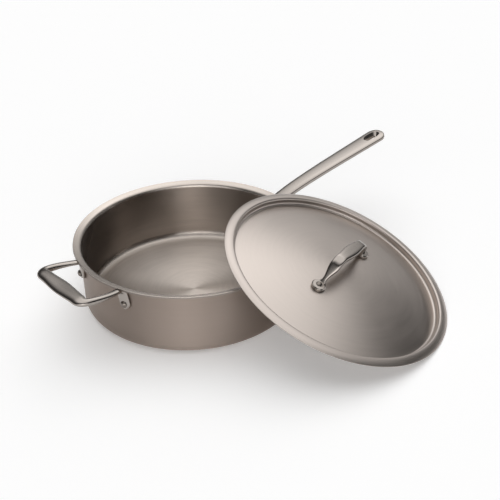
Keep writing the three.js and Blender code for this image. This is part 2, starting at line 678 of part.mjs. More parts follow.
addNode(pan, 'pan_outer_ply', drilledPly(0, OUTER_PLY), steel(0xa5968a, 0.32));
addNode(pan, 'pan_core_ply', drilledPly(coreDepth, CORE_PLY), steel(0xb9bbbd, 0.45));
addNode(pan, 'pan_inner_ply', drilledPly(innerDepth, INNER_PLY), steel(0xa59e96, 0.35));
addNode(pan, 'long_handle', longHandle(cutter), steel(0xc8beb6, 0.28));
addNode(pan, 'helper_handle', helperHandle(cutter), steel(0xbcb1a8, 0.28));
for (const spot of panRivets) {
  const mesh = addNode(pan, spot.name, panRivet(spot), steel(0xb0a59c, 0.3));
  mesh.rotation.z = spot.azimuth;
  mesh.position.z = spot.height;
}

const lid = new THREE.Group();
lid.rotation.y = LID_TILT;
lid.position.set(lidDistance(), 0, LID_STAND);
const lidTurn = new THREE.Group();
lidTurn.rotation.z = LID_HANDLE_TURN;
lid.add(lidTurn);
addNode(lidTurn, 'lid_shell', lidShell(), steel(0xc9beb5, 0.33));
addNode(lidTurn, 'lid_handle', lidHandle(), steel(0xc4bab1, 0.28));
for (const seat of FOOT_SEATS) {
  const mesh = addNode(lidTurn, seat.name, lidRivet(), steel(0xb0a59c, 0.3));
  mesh.applyMatrix4(seat.place);
}

const lean = new THREE.Group();
lean.rotation.z = LEAN_AZIMUTH;
lean.add(lid);

const sautePan = new THREE.Group();
sautePan.name = 'saute_pan_with_lid';
sautePan.add(pan, lean);

export default sautePan;
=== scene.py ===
"""Looks of the saute pan with a lid: smooth steel pieces over the solids, a pale floor and soft light.

Lengths are written in millimetres, as in the solids, and become metres where a mesh is made.
"""

import math

import bmesh
import bpy
from mathutils import Matrix, Vector


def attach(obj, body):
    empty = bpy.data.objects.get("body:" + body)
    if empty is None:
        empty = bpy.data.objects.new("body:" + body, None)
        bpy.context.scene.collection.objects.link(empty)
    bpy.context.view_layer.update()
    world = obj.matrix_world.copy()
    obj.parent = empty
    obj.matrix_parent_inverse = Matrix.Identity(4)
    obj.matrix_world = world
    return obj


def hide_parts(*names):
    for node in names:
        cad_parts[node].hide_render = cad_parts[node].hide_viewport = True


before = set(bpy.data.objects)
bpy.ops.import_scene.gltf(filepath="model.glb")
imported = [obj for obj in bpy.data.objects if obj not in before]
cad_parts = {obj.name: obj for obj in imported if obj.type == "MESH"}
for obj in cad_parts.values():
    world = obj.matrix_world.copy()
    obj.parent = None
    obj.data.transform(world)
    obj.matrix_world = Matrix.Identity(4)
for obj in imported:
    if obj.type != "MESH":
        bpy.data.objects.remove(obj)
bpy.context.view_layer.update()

MM = 0.001

# Pan shell
WALL_RADIUS = 130.4
RIM_HEIGHT = 81.4
LIP_WIDTH = 7.6
CORNER_RADIUS = 13
FLARE_RADIUS = 2.8
FLARE_ANGLE = math.radians(76)
OUTER_PLY = 0.6
CORE_PLY = 1.3
INNER_PLY = 0.5
BOND_GAP = 0.05
SEAT_GAP = 0.3
HEAD_GAP = 0.1
PLUG_GAP = 0.8

# Rivets
PAN_SHANK_RADIUS = 2.8
PAN_HEAD_RADIUS = 4.2
PAN_HEAD_HEIGHT = 2.7
LID_SHANK_RADIUS = 2.2
LID_HEAD_RADIUS = 3.9
LID_HEAD_HEIGHT = 1.9

# Long handle
HANDLE_LENGTH = 197.5
HANDLE_TIP_RISE = 26.6
HANDLE_ROOT_DROP = 10.4
HANDLE_ROOT_WIDTH = 17.8
HANDLE_END_WIDTH = 27.5
HANDLE_THICKNESS = 6.8
# Where the bar's curve is pulled to, as shares of its length and of its rise
HANDLE_FIRST_PULL = (0.14, 0.37)
HANDLE_LAST_PULL = (0.54, 0.62)
HANG_HOLE_LENGTH = 25.5
HANG_HOLE_WIDTH = 13
HANG_HOLE_TAPER = 4.1
HANG_HOLE_WALL = 6.3
PLATE_THICKNESS = 4.2
PLATE_WIDTH = 46
PLATE_HEIGHT = 42
PLATE_DROP = 8.5
PLATE_CORNER = 9

# Helper handle
HELPER_REACH = 45.9
HELPER_SPREAD = 43.3
HELPER_BOW = 2.3
HELPER_RISE = 1.7
HELPER_ROOT_DROP = 4.8
HELPER_CORNER = 9.6
HELPER_BEND = 6
HELPER_ROLL = math.radians(9)
HELPER_BAR_WIDTH = 19
HELPER_BAR_THICKNESS = 7.1
HELPER_CORNER_WIDTH = 15.6
HELPER_LEG_WIDTH = 9
HELPER_LEG_THICKNESS = 5
HELPER_CORNER_THICKNESS = 7.9
HELPER_TAB_WIDTH = 13.6
HELPER_TAB_THICKNESS = 4.4
HELPER_TAB_BITE = 2
HELPER_RIVET_ANGLE = math.radians(18.9)
HELPER_ROOT_ANGLE = math.radians(17.4)
HELPER_RIVET_DROP = 21.4

# Lid
LID_SHEET = 1
LID_TRIM = 0.1
DOME_RADIUS = 550
DOME_RISE = 8.2
GROOVE_RADIUS = 3
FLANGE_BEND = 2.6
FLANGE_CROWN = 18
LID_TILT = math.radians(24.2)
LEAN_AZIMUTH = math.radians(-60.2)
LID_DISTANCE = 179.85
LID_STAND = 57.14

# Lid handle
LID_HANDLE_TURN = math.radians(74.4)
FOOT_REACH = 50.5
FOOT_RADIUS = 8.3
FOOT_HEIGHT = 3.9
FOOT_STEP = 1.1
GRIP_HEIGHT = 28.4
GRIP_ARCH = 1.2
GRIP_LENGTH = 54.5
GRIP_BEND = 7
GRIP_WIDTH = 16
GRIP_END_WIDTH = 12.6
GRIP_THICKNESS = 6
NECK_WIDTH = 5
NECK_THICKNESS = 5
NECK_FLARE = 6
NECK_FLARE_WIDTH = 10

# Softened edges: a section's power goes from 2, an ellipse, to large values, a rectangle
HANDLE_EDGE_POWER = 4.8
HANDLE_CROWN = 0.011  # one over the radius of the top's curve across, per millimetre
HELPER_EDGE_POWER = 2
TAB_EDGE_POWER = 8
STRAP_EDGE_POWER = 4
HOLE_EDGE_POWER = 2.4
EDGE_ROUND = 0.9
HOLE_ROUND = 0.5
RIM_ROUND = 0.35
END_SWEEP = math.radians(80)

# Fineness of the meshes
SHELL_SEGMENTS = 192
RIVET_SEGMENTS = 48
ARC_STEPS = 12
DOME_STEPS = 40
BASE_STEPS = 24
RING_POINTS = 56
HANDLE_STEPS = 90
END_STEPS = 30
LENGTH_STEPS = 60
CURVE_SPACING = 0.7
LINE_SPACING = 1.6
SMOOTH_ANGLE = math.radians(38)
HALVINGS = 16

# Sizes that follow from those above
SHEET = OUTER_PLY + CORE_PLY + INNER_PLY + 2 * BOND_GAP
LIP_RADIUS = WALL_RADIUS + LIP_WIDTH
INNER_RADIUS = WALL_RADIUS - SHEET
SEAT_RADIUS = WALL_RADIUS + SEAT_GAP
LID_RADIUS = LIP_RADIUS - LID_TRIM
GROOVE_WALL = INNER_RADIUS - PLUG_GAP - LID_SHEET
QUARTER = math.pi / 2
GRAIN = "grain"  # name of the coordinates that the brush marks follow


# Meshes
def solid(name, vertices, faces, grain, place=Matrix()):
    """A smooth-shaded object from vertices in millimetres, moved by a matrix in metres.

    grain holds a (along, across) pair for each corner of each face, for the brush marks.
    """
    mesh = bpy.data.meshes.new(name)
    mesh.from_pydata([Vector(v) * MM for v in vertices], [], faces)
    layer = mesh.uv_layers.new(name=GRAIN)
    layer.data.foreach_set("uv", [number for face in grain for corner in face for number in corner])
    mesh.transform(place)
    shape = bmesh.new()
    shape.from_mesh(mesh)
    bmesh.ops.recalc_face_normals(shape, faces=shape.faces)
    shape.to_mesh(mesh)
    shape.free()
    piece = bpy.data.objects.new(name, mesh)
    bpy.context.scene.collection.objects.link(piece)
    smooth(piece)
    return piece


def smooth(piece):
    """Smooth shading, but for edges that are truly sharp."""
    for face in piece.data.polygons:
        face.use_smooth = True
    piece.data.set_sharp_from_angle(angle=SMOOTH_ANGLE)


def combine(piece, other, operation):
    """Joins another solid to a piece or cuts it away, and removes that other solid."""
    boolean = piece.modifiers.new(operation.lower(), "BOOLEAN")
    boolean.operation = operation
    boolean.solver = "EXACT"
    boolean.object = other
    bpy.context.view_layer.update()
    result = piece.evaluated_get(bpy.context.evaluated_depsgraph_get())
    mesh = bpy.data.meshes.new_from_object(result)
    piece.modifiers.clear()
    old = piece.data
    piece.data = mesh
    bpy.data.meshes.remove(old)
    bpy.data.objects.remove(other)
    smooth(piece)


def arc(center_x, center_y, radius, start, end, steps=ARC_STEPS):
    """Points on an arc from one angle to another."""
    points = []
    for i in range(steps + 1):
        angle = start + (end - start) * i / steps
        points.append(Vector((center_x + radius * math.cos(angle), center_y + radius * math.sin(angle))))
    return points


def fillet(before, corner, after, radius):
    """Points that round off a corner between two straight lines."""
    back = (before - corner).normalized()
    ahead = (after - corner).normalized()
    half = back.angle(ahead) / 2
    reach = radius / math.tan(half)
    center = corner + (back + ahead).normalized() * (radius / math.sin(half))
    start = corner + back * reach - center
    end = corner + ahead * reach - center
    points = []
    for i in range(ARC_STEPS + 1):
        spoke = start.lerp(end, i / ARC_STEPS)
        points.append(center + spoke.normalized() * radius)
    return points


def lathe(name, profile, segments, place=Matrix()):
    """A profile of (radius, height) points, from the axis back to the axis, turned about Z."""
    vertices = []
    rings = []
    for radius, height in profile:
        turns = segments if radius > 0 else 1
        rings.append([len(vertices) + k for k in range(turns)])
        for k in range(turns):
            angle = 2 * math.pi * k / segments
            vertices.append((radius * math.cos(angle), radius * math.sin(angle), height))
    faces = []
    grain = []
    travelled = 0
    for i in range(len(profile) - 1):
        start = travelled
        travelled += (profile[i + 1] - profile[i]).length * MM
        for k in range(segments):
            corners = {}
            walk = ((i, k, start), (i, k + 1, start), (i + 1, k + 1, travelled), (i + 1, k, travelled))
            for ring, turn, way in walk:
                vertex = rings[ring][turn % len(rings[ring])]
                corners[vertex] = (turn / segments, way)
            faces.append(list(corners))
            grain.append(list(corners.values()))
    return solid(name, vertices, faces, grain, place)


def loft(name, stations, power, place=Matrix(), crown=0):
    """A solid through rounded-rectangle rings, each (center, ahead, up, width, thickness).

    crown is how much the top side curves across, as one over its radius.
    """
    vertices = []
    for center, ahead, up, width, thickness in stations:
        forward = ahead.normalized()
        level = (up - forward * up.dot(forward)).normalized()
        side = level.cross(forward)
        for k in range(RING_POINTS):
            angle = 2 * math.pi * k / RING_POINTS
            across = width / 2 * soften(math.cos(angle), power)
            above = thickness / 2 * soften(math.sin(angle), power)
            if above > 0:
                above -= crown * across**2 / 2
            vertices.append(center + side * across + level * above)
    faces, grain = tube_faces(vertices, RING_POINTS)
    return solid(name, vertices, faces, grain, place)


def tube_faces(vertices, count):
    """Faces of a closed tube of rings of count points, and the way along and across at their corners."""
    rings = len(vertices) // count

    def apart(one, other):
        return (Vector(vertices[other]) - Vector(vertices[one])).length * MM

    across = [0]
    for k in range(count):
        across.append(across[-1] + apart(k, (k + 1) % count))
    along = [0]
    for i in range(rings - 1):
        along.append(along[-1] + apart(i * count, (i + 1) * count))
    faces = []
    grain = []
    for i in range(rings - 1):
        here = i * count
        there = here + count
        for k in range(count):
            after = (k + 1) % count
            faces.append([here + k, here + after, there + after, there + k])
            low, high = across[k], across[k + 1]
            grain.append([(along[i], low), (along[i], high), (along[i + 1], high), (along[i + 1], low)])
    for ring in (0, rings - 1):
        faces.append([ring * count + k for k in range(count)])
        grain.append([(along[ring], across[k]) for k in range(count)])
    return faces, grain


def soften(value, power):
    """A sine or cosine bent so that a circle becomes a rounded rectangle."""
    return math.copysign(abs(value) ** (2 / power), value)


# Pan
FLARE_CENTER = WALL_RADIUS + FLARE_RADIUS
LIP_RUN = (LIP_RADIUS - FLARE_CENTER + FLARE_RADIUS * math.cos(FLARE_ANGLE)) / math.sin(FLARE_ANGLE)
LIP_RISE = LIP_RUN * math.cos(FLARE_ANGLE)
FLARE_HEIGHT = RIM_HEIGHT - LIP_RISE - (FLARE_RADIUS + SHEET) * math.sin(FLARE_ANGLE)


def pan_line(depth):
    """The pan sheet's line at a depth in from its outside, from the axis to the end of the lip."""
    corner_center = WALL_RADIUS - CORNER_RADIUS
    floor = [Vector((corner_center * i / BASE_STEPS, depth)) for i in range(BASE_STEPS)]
    corner = arc(corner_center, CORNER_RADIUS, CORNER_RADIUS - depth, -QUARTER, 0)
    flare = arc(FLARE_CENTER, FLARE_HEIGHT, FLARE_RADIUS + depth, math.pi, math.pi - FLARE_ANGLE)
    lip = flare[-1] + Vector((LIP_RUN * math.sin(FLARE_ANGLE), LIP_RISE))
    return floor + corner + flare + [lip]


def ply(name, depth, thickness, round_outside=0, round_inside=0):
    """One ply of the pan, with the corners of its edge at the lip rounded where they show."""
    outside = pan_line(depth)
    inside = pan_line(depth + thickness)
    outer_corner, inner_corner = outside[-1], inside[-1]
    edge = [outer_corner, inner_corner]
    if round_outside:
        edge[:1] = fillet(outside[-2], outer_corner, inner_corner, round_outside)
    if round_inside:
        edge[-1:] = fillet(outer_corner, inner_corner, inside[-2], round_inside)
    return lathe(name, outside[:-1] + edge + inside[-2::-1], SHELL_SEGMENTS)


def rivet(name, shank, head, height, inner_seat, outer_seat, place):
    """A rivet along its own Z: a domed head at each end of a shank."""
    dome = (head**2 + height**2) / (2 * height)
    span = math.asin(head / dome)
    inner = arc(0, inner_seat - height + dome, dome, -QUARTER, span - QUARTER)
    outer = arc(0, outer_seat + height - dome, dome, QUARTER - span, QUARTER)
    inner[0].x = 0
    outer[-1].x = 0
    profile = inner + [Vector((shank, inner_seat)), Vector((shank, outer_seat))] + outer
    return lathe(name, profile, RIVET_SEGMENTS, place)


def wall_place(azimuth, height):
    """Local Z points out of the wall at an azimuth and a height."""
    turn = Matrix.Rotation(azimuth, 4, "Z") @ Matrix.Rotation(QUARTER, 4, "Y")
    return Matrix.Translation((0, 0, height * MM)) @ turn


def pan_rivet(name, azimuth, height, face):
    """A rivet through the wall, its outer head on a cast piece whose face has that radius."""
    inner_seat = math.sqrt(INNER_RADIUS**2 - PAN_HEAD_RADIUS**2) - HEAD_GAP
    outer_seat = face + HEAD_GAP
    place = wall_place(azimuth, height)
    return rivet(name, PAN_SHANK_RADIUS, PAN_HEAD_RADIUS, PAN_HEAD_HEIGHT, inner_seat, outer_seat, place)


def bezier(points, along):
    """Point and direction on a Bezier curve of any order."""
    while len(points) > 2:
        points = [a.lerp(b, along) for a, b in zip(points, points[1:])]
    return points[0].lerp(points[1], along), points[1] - points[0]


def length_of(points, end=1):
    """Length of a Bezier curve up to a share of it."""
    spots = [bezier(points, end * i / LENGTH_STEPS)[0] for i in range(LENGTH_STEPS + 1)]
    return sum((b - a).length for a, b in zip(spots, spots[1:]))


def share_at(points, distance):
    """The share of a Bezier curve that lies before a distance along it."""
    low, high = 0, 1
    for _ in range(HALVINGS):
        middle = (low + high) / 2
        if length_of(points, middle) < distance:
            low = middle
        else:
            high = middle
    return low


def sweep(runs):
    """Stations along a chain of curves, each with a section (width, thickness, up) at its start and end."""
    stations = []
    for points, start, end, spacing in runs:
        steps = math.ceil(length_of(points) / spacing)
        for i in range(steps):
            along = i / steps
            blend = along * along * (3 - 2 * along)
            center, ahead = bezier(points, along)
            width = start[0] + (end[0] - start[0]) * blend
            thickness = start[1] + (end[1] - start[1]) * blend
            stations.append((center, ahead, start[2].lerp(end[2], blend), width, thickness))
    return stations


def rounded_end(station, power):
    """Stations that round off a loft's end in plan. Its tip gets the edge of a section of that power."""
    center, ahead, up, width, thickness = station
    forward = ahead.normalized()
    reach = width / 2 * math.sin(END_SWEEP)
    stations = []
    for i in range(END_STEPS + 1):
        angle = QUARTER * i / (END_STEPS + 1)
        place = center + forward * reach * math.sin(angle)
        left = (1 - math.sin(angle) ** power) ** (1 / power)
        stations.append((place, ahead, up, width * math.cos(angle), thickness * left))
    return stations


def towards(start, end, distance):
    """The point at a distance from the start on the way to the end."""
    return start + (end - start).normalized() * distance


def mirrored(half):
    """A chain of stations of one half, its middle and the other half run backwards."""
    stations, middle = half(1)
    back = [(center, -ahead, up, width, thick) for center, ahead, up, width, thick in half(-1)[0]]
    return stations + [middle] + back[::-1]


# Long handle
def handle_bar():
    """The bar without its hole and plate, and the station where its round end starts."""
    root = Vector((WALL_RADIUS, 0, RIM_HEIGHT - HANDLE_ROOT_DROP))
    tip = Vector((WALL_RADIUS + HANDLE_LENGTH, 0, RIM_HEIGHT + HANDLE_TIP_RISE))
    rise = tip.z - root.z
    pulls = [
        root + Vector((HANDLE_LENGTH * run, 0, rise * lift))
        for run, lift in (HANDLE_FIRST_PULL, HANDLE_LAST_PULL)
    ]
    curve = [root, *pulls, tip]
    whole = length_of(curve)
    straight = whole - HANDLE_END_WIDTH / 2
    up = Vector((0, 0, 1))
    stations = []
    for i in range(HANDLE_STEPS + 1):
        travelled = straight * i / HANDLE_STEPS
        center, ahead = bezier(curve, share_at(curve, travelled))
        width = HANDLE_ROOT_WIDTH + (HANDLE_END_WIDTH - HANDLE_ROOT_WIDTH) * travelled / whole
        stations.append((center, ahead.normalized(), up, width, HANDLE_THICKNESS))
    end = stations.pop()
    stations += rounded_end(end, HANDLE_EDGE_POWER)
    return loft("long_handle_cast", stations, HANDLE_EDGE_POWER, crown=HANDLE_CROWN), end


def hang_hole(end):
    """The cutter of the hanging hole: narrower below, with a rounded lip on top."""
    center, ahead, _, end_width, thickness = end
    center = center + ahead * (end_width / 2 - HANG_HOLE_WALL - HANG_HOLE_LENGTH / 2)
    normal = Vector((-ahead.z, 0, ahead.x))
    slope = HANG_HOLE_TAPER / thickness
    top = thickness / 2
    lip = arc(HOLE_ROUND, top - HOLE_ROUND, HOLE_ROUND, math.pi, QUARTER)
    line = [Vector((0, -top - HOLE_ROUND)), *lip, Vector((HOLE_ROUND, top + HOLE_ROUND))]
    stations = []
    for flare, height in line:
        grow = 2 * slope * (height - top) + 2 * flare
        place = center + normal * height
        stations.append((place, normal, ahead, HANG_HOLE_WIDTH + grow, HANG_HOLE_LENGTH + grow))
    return loft("hole_cutter", stations, HOLE_EDGE_POWER)


def plate_outline():
    """The wall plate's rounded triangle, as (across, height) points."""
    half_top = PLATE_WIDTH / 2 - PLATE_CORNER
    top = RIM_HEIGHT - PLATE_DROP - PLATE_CORNER
    bottom = RIM_HEIGHT - PLATE_DROP - PLATE_HEIGHT + PLATE_CORNER
    lean = math.atan2(half_top, top - bottom)
    outline = arc(half_top, top, PLATE_CORNER, -lean, QUARTER)
    outline += arc(-half_top, top, PLATE_CORNER, QUARTER, math.pi + lean)
    outline += arc(0, bottom, PLATE_CORNER, math.pi + lean, 2 * math.pi - lean)
    return outline


def wall_plate():
    """The plate bent to the wall: rings of its outline shrink to the middle of each face."""
    outline = plate_outline()
    middle = sum(outline, Vector((0, 0))) / len(outline)
    shares = [i / ARC_STEPS for i in range(1, ARC_STEPS)]
    back = [(share, 0) for share in shares + [1]]
    edge = [
        (1 - (EDGE_ROUND - spot.x) / PLATE_CORNER, spot.y)
        for spot in arc(0, PLATE_THICKNESS - EDGE_ROUND, EDGE_ROUND, 0, QUARTER)
    ]
    last = edge[-1][0]
    front = [(last * share, PLATE_THICKNESS) for share in shares[::-1]]
    vertices = []
    for share, proud in back + edge + front:
        for spot in outline:
            across, height = middle + (spot - middle) * share
            angle = math.asin(across / SEAT_RADIUS)
            reach = SEAT_RADIUS + proud
            vertices.append((reach * math.cos(angle), reach * math.sin(angle), height))
    faces, grain = tube_faces(vertices, len(outline))
    return solid("plate", vertices, faces, grain)


def wall_cutter():
    """Everything inside the cast pieces' seat on the wall."""
    low, high = CORNER_RADIUS, RIM_HEIGHT + HELPER_RISE
    profile = [Vector((0, low)), Vector((SEAT_RADIUS, low)), Vector((SEAT_RADIUS, high)), Vector((0, high))]
    return lathe("wall_cutter", profile, SHELL_SEGMENTS)


def long_handle():
    """The bar with its hanging hole, joined to the plate and seated on the wall."""
    bar, end = handle_bar()
    combine(bar, hang_hole(end), "DIFFERENCE")
    combine(bar, wall_plate(), "UNION")
    combine(bar, wall_cutter(), "DIFFERENCE")
    return bar


# Helper handle
def on_wall(radius, angle, height):
    """A point at a radius from the pan's axis."""
    return Vector((radius * math.cos(angle), radius * math.sin(angle), height))


def helper_half(side):
    """Stations from one tab up its leg and along the bar, and the one in the bar's middle."""
    tab_radius = SEAT_RADIUS + (HELPER_TAB_THICKNESS - HELPER_TAB_BITE) / 2
    rivet_angle = side * HELPER_RIVET_ANGLE
    wallward = on_wall(-1, rivet_angle, 0)
    up = Vector((0, 0, 1))
    bar_radius = WALL_RADIUS + HELPER_REACH
    bar_height = RIM_HEIGHT + HELPER_RISE
    tab_point = on_wall(tab_radius, rivet_angle, RIM_HEIGHT - HELPER_RIVET_DROP)
    bend = on_wall(tab_radius, side * HELPER_ROOT_ANGLE, RIM_HEIGHT - HELPER_ROOT_DROP)
    corner = Vector((bar_radius, side * HELPER_SPREAD, bar_height))
    middle = Vector((bar_radius, 0, bar_height))
    bow = (bend + corner) / 2 + Vector((0, 2 * side * HELPER_BOW, 0))
    bend_in = towards(bend, tab_point, HELPER_BEND)
    bend_out = towards(bend, bow, HELPER_BEND)
    corner_in = towards(corner, bow, HELPER_CORNER)
    corner_out = towards(corner, middle, HELPER_CORNER)
    tab = (HELPER_TAB_WIDTH, HELPER_TAB_THICKNESS + HELPER_TAB_BITE, wallward)
    root = (HELPER_LEG_WIDTH, HELPER_LEG_THICKNESS, up)
    leg = (HELPER_LEG_WIDTH, HELPER_CORNER_THICKNESS, up)
    rolled = Vector((math.sin(HELPER_ROLL), 0, math.cos(HELPER_ROLL)))
    turn = (HELPER_CORNER_WIDTH, HELPER_CORNER_THICKNESS, rolled)
    bar = (HELPER_BAR_WIDTH, HELPER_BAR_THICKNESS, rolled)
    stations = sweep(
        [
            ([tab_point, bend_in], tab, tab, LINE_SPACING),
            ([bend_in, bend, bend_out], tab, root, CURVE_SPACING),
            ([bend_out, bow, corner_in], root, leg, LINE_SPACING),
            ([corner_in, corner, corner_out], leg, turn, CURVE_SPACING),
            ([corner_out, middle], turn, bar, LINE_SPACING),
        ]
    )
    center, ahead, tab_up, width, thickness = stations[0]
    tail = rounded_end((center, -ahead, tab_up, width, thickness), TAB_EDGE_POWER)[:0:-1]
    tail = [(spot, ahead, tab_up, wide, thick) for spot, _, _, wide, thick in tail]
    width, thickness, bar_up = bar
    return tail + stations, (middle, Vector((0, -side, 0)), bar_up, width, thickness)


def helper_handle():
    """The loop, made on the +X side like the long handle and then turned to the other side of the pan."""
    loop = loft("helper_handle_cast", mirrored(helper_half), HELPER_EDGE_POWER)
    combine(loop, wall_cutter(), "DIFFERENCE")
    loop.data.transform(Matrix.Rotation(math.pi, 4, "Z"))
    return loop


# Lid, in its own frame: the axis is Z and the handle runs along X
DOME_CENTER = DOME_RISE - DOME_RADIUS
GROOVE_CENTER = GROOVE_WALL - GROOVE_RADIUS
DOME_EDGE = math.asin(GROOVE_CENTER / (DOME_RADIUS + GROOVE_RADIUS))
GROOVE_HEIGHT = DOME_CENTER + (DOME_RADIUS + GROOVE_RADIUS) * math.cos(DOME_EDGE)
FLANGE_START = GROOVE_WALL + FLANGE_BEND
FLANGE_EDGE = math.asin((LID_RADIUS - FLANGE_START) / FLANGE_CROWN)
FLANGE_HEIGHT = FLANGE_CROWN * (1 - math.cos(FLANGE_EDGE))
LID_PLACE = (
    Matrix.Rotation(LEAN_AZIMUTH, 4, "Z")
    @ Matrix.Translation((LID_DISTANCE * MM, 0, LID_STAND * MM))
    @ Matrix.Rotation(LID_TILT, 4, "Y")
    @ Matrix.Rotation(LID_HANDLE_TURN, 4, "Z")
)


def lid_line(depth):
    """The lid sheet's line at a depth below its top side, from the axis to the flange's edge."""
    dome = arc(0, DOME_CENTER, DOME_RADIUS - depth, QUARTER, QUARTER - DOME_EDGE, DOME_STEPS)
    dome[0].x = 0
    groove = arc(GROOVE_CENTER, GROOVE_HEIGHT, GROOVE_RADIUS + depth, -QUARTER - DOME_EDGE, 0)
    bend = arc(FLANGE_START, FLANGE_HEIGHT - FLANGE_BEND, FLANGE_BEND - depth, math.pi, QUARTER)
    crown = FLANGE_HEIGHT - FLANGE_CROWN
    flange = arc(FLANGE_START, crown, FLANGE_CROWN - depth, QUARTER, QUARTER - FLANGE_EDGE)
    return dome + groove[1:] + bend + flange[1:]


def dome_height(radius):
    """Height of the dome's top side at a distance from the axis."""
    return DOME_CENTER + math.sqrt(DOME_RADIUS**2 - radius**2)


def lid_shell():
    """The spun sheet, with both corners of its edge rounded."""
    top = lid_line(0)
    under = lid_line(LID_SHEET)
    edge = fillet(under[-2], under[-1], top[-1], RIM_ROUND) + fillet(under[-1], top[-1], top[-2], RIM_ROUND)
    return lathe("lid_sheet_spun", under[:-1] + edge + top[-2::-1], SHELL_SEGMENTS, LID_PLACE)


def foot_seat(side):
    """Local Z points out of the dome at a rivet of the lid handle."""
    lean = math.asin(FOOT_REACH / DOME_RADIUS)
    spot = Vector((side * FOOT_REACH, 0, dome_height(FOOT_REACH)))
    return Matrix.Translation(spot * MM) @ Matrix.Rotation(side * lean, 4, "Y")


def lid_foot(side):
    """A round foot with a chamfer, on the dome at one end of the strap."""
    top = SEAT_GAP + FOOT_HEIGHT
    chamfer_start = Vector((FOOT_RADIUS, top - FOOT_STEP))
    chamfer_end = Vector((FOOT_RADIUS - FOOT_STEP, top))
    profile = [Vector((0, SEAT_GAP)), Vector((FOOT_RADIUS, SEAT_GAP))]
    profile += fillet(profile[-1], chamfer_start, chamfer_end, RIM_ROUND)
    profile += fillet(chamfer_start, chamfer_end, Vector((0, top)), RIM_ROUND)
    profile.append(Vector((0, top)))
    return lathe("lid_foot", profile, 2 * RIVET_SEGMENTS, LID_PLACE @ foot_seat(side))


def strap_half(side):
    """Stations from one foot through the neck to the grip, and the one in the grip's middle."""
    seat = dome_height(FOOT_REACH)
    neck_reach = FOOT_REACH - FOOT_RADIUS + NECK_THICKNESS / 2
    foot = Vector((side * neck_reach, 0, seat + SEAT_GAP + FOOT_HEIGHT - NECK_THICKNESS / 2))
    bend = Vector((side * GRIP_LENGTH / 2, 0, seat + GRIP_HEIGHT))
    middle = Vector((0, 0, seat + GRIP_HEIGHT + GRIP_ARCH))
    knee = Vector(((bend.x + middle.x) / 2, 0, middle.z))
    waist = towards(foot, bend, NECK_FLARE)
    bend_in = towards(bend, foot, GRIP_BEND)
    bend_out = towards(bend, knee, GRIP_BEND)
    up = Vector((0, 0, 1))
    flare = (NECK_FLARE_WIDTH, NECK_THICKNESS, up)
    neck = (NECK_WIDTH, NECK_THICKNESS, up)
    shoulder = (GRIP_END_WIDTH, GRIP_THICKNESS, up)
    grip = (GRIP_WIDTH, GRIP_THICKNESS, up)
    stations = sweep(
        [
            ([foot, waist], flare, neck, CURVE_SPACING),
            ([waist, bend_in], neck, shoulder, LINE_SPACING),
            ([bend_in, bend, bend_out], shoulder, shoulder, CURVE_SPACING),
            ([bend_out, knee, middle], shoulder, grip, LINE_SPACING),
        ]
    )
    width, thickness, grip_up = grip
    return stations, (middle, Vector((-side, 0, 0)), grip_up, width, thickness)


def lid_handle():
    """The strap with its two feet."""
    strap = loft("lid_handle_cast", mirrored(strap_half), STRAP_EDGE_POWER, LID_PLACE)
    for side in (-1, 1):
        combine(strap, lid_foot(side), "UNION")
    return strap


def lid_rivet(name, side):
    """A rivet through the lid and one foot of its handle."""
    outer_seat = SEAT_GAP + FOOT_HEIGHT + HEAD_GAP
    inner_seat = -LID_SHEET - SEAT_GAP
    place = LID_PLACE @ foot_seat(side)
    return rivet(name, LID_SHANK_RADIUS, LID_HEAD_RADIUS, LID_HEAD_HEIGHT, inner_seat, outer_seat, place)


# Materials
# Noise cells of the spun marks, on a unit circle round the axis and per metre across
SPUN_SCALE = (1.6, 1.6, 260)
# Noise cells of the polished marks, per metre along and across
POLISH_SCALE = (120, 1200, 1)
MARK_DETAIL = 5
MARK_ROUGHNESS = 0.65
MARK_DEPTH = 0.2
CLOUD_SCALE = 14
CLOUD_DETAIL = 3
# The marks and the clouds add up to values between about these two
MIXED_LOW = 0.7
MIXED_HIGH = 1.3
ROUGHNESS_SPREAD = 0.12
BRUSH_TURN = 0.25  # a quarter turn, so that highlights stretch across the marks
POLISH_RISE = 3  # height above the pan's floor at which its polish is reached


class Nodes:
    """Adds nodes to a tree and links them: each input is a value or another node's output."""

    def __init__(self, tree):
        self.tree = tree

    def add(self, kind, inputs=(), output=0, **settings):
        """Adds one node and returns one of its outputs."""
        node = self.tree.nodes.new(kind)
        for setting, value in settings.items():
            setattr(node, setting, value)
        for socket, value in dict(inputs).items():
            if isinstance(value, bpy.types.NodeSocket):
                self.tree.links.new(value, node.inputs[socket])
            else:
                node.inputs[socket].default_value = value
        return node.outputs[output] if node.outputs else None

    def remap(self, value, low, high, low_result, high_result, curve="LINEAR"):
        """Maps the range from low to high to the range of the results, and holds it there."""
        inputs = {
            "Value": value,
            "From Min": low,
            "From Max": high,
            "To Min": low_result,
            "To Max": high_result,
        }
        return self.add("ShaderNodeMapRange", inputs, interpolation_type=curve)


def new_material(name):
    """A material without nodes, and the means to add them."""
    material = bpy.data.materials.new(name)
    material.use_nodes = True
    material.node_tree.nodes.clear()
    return material, Nodes(material.node_tree)


def shade(color, factor):
    """A colour times a factor, fully opaque."""
    return (color[0] * factor, color[1] * factor, color[2] * factor, 1)


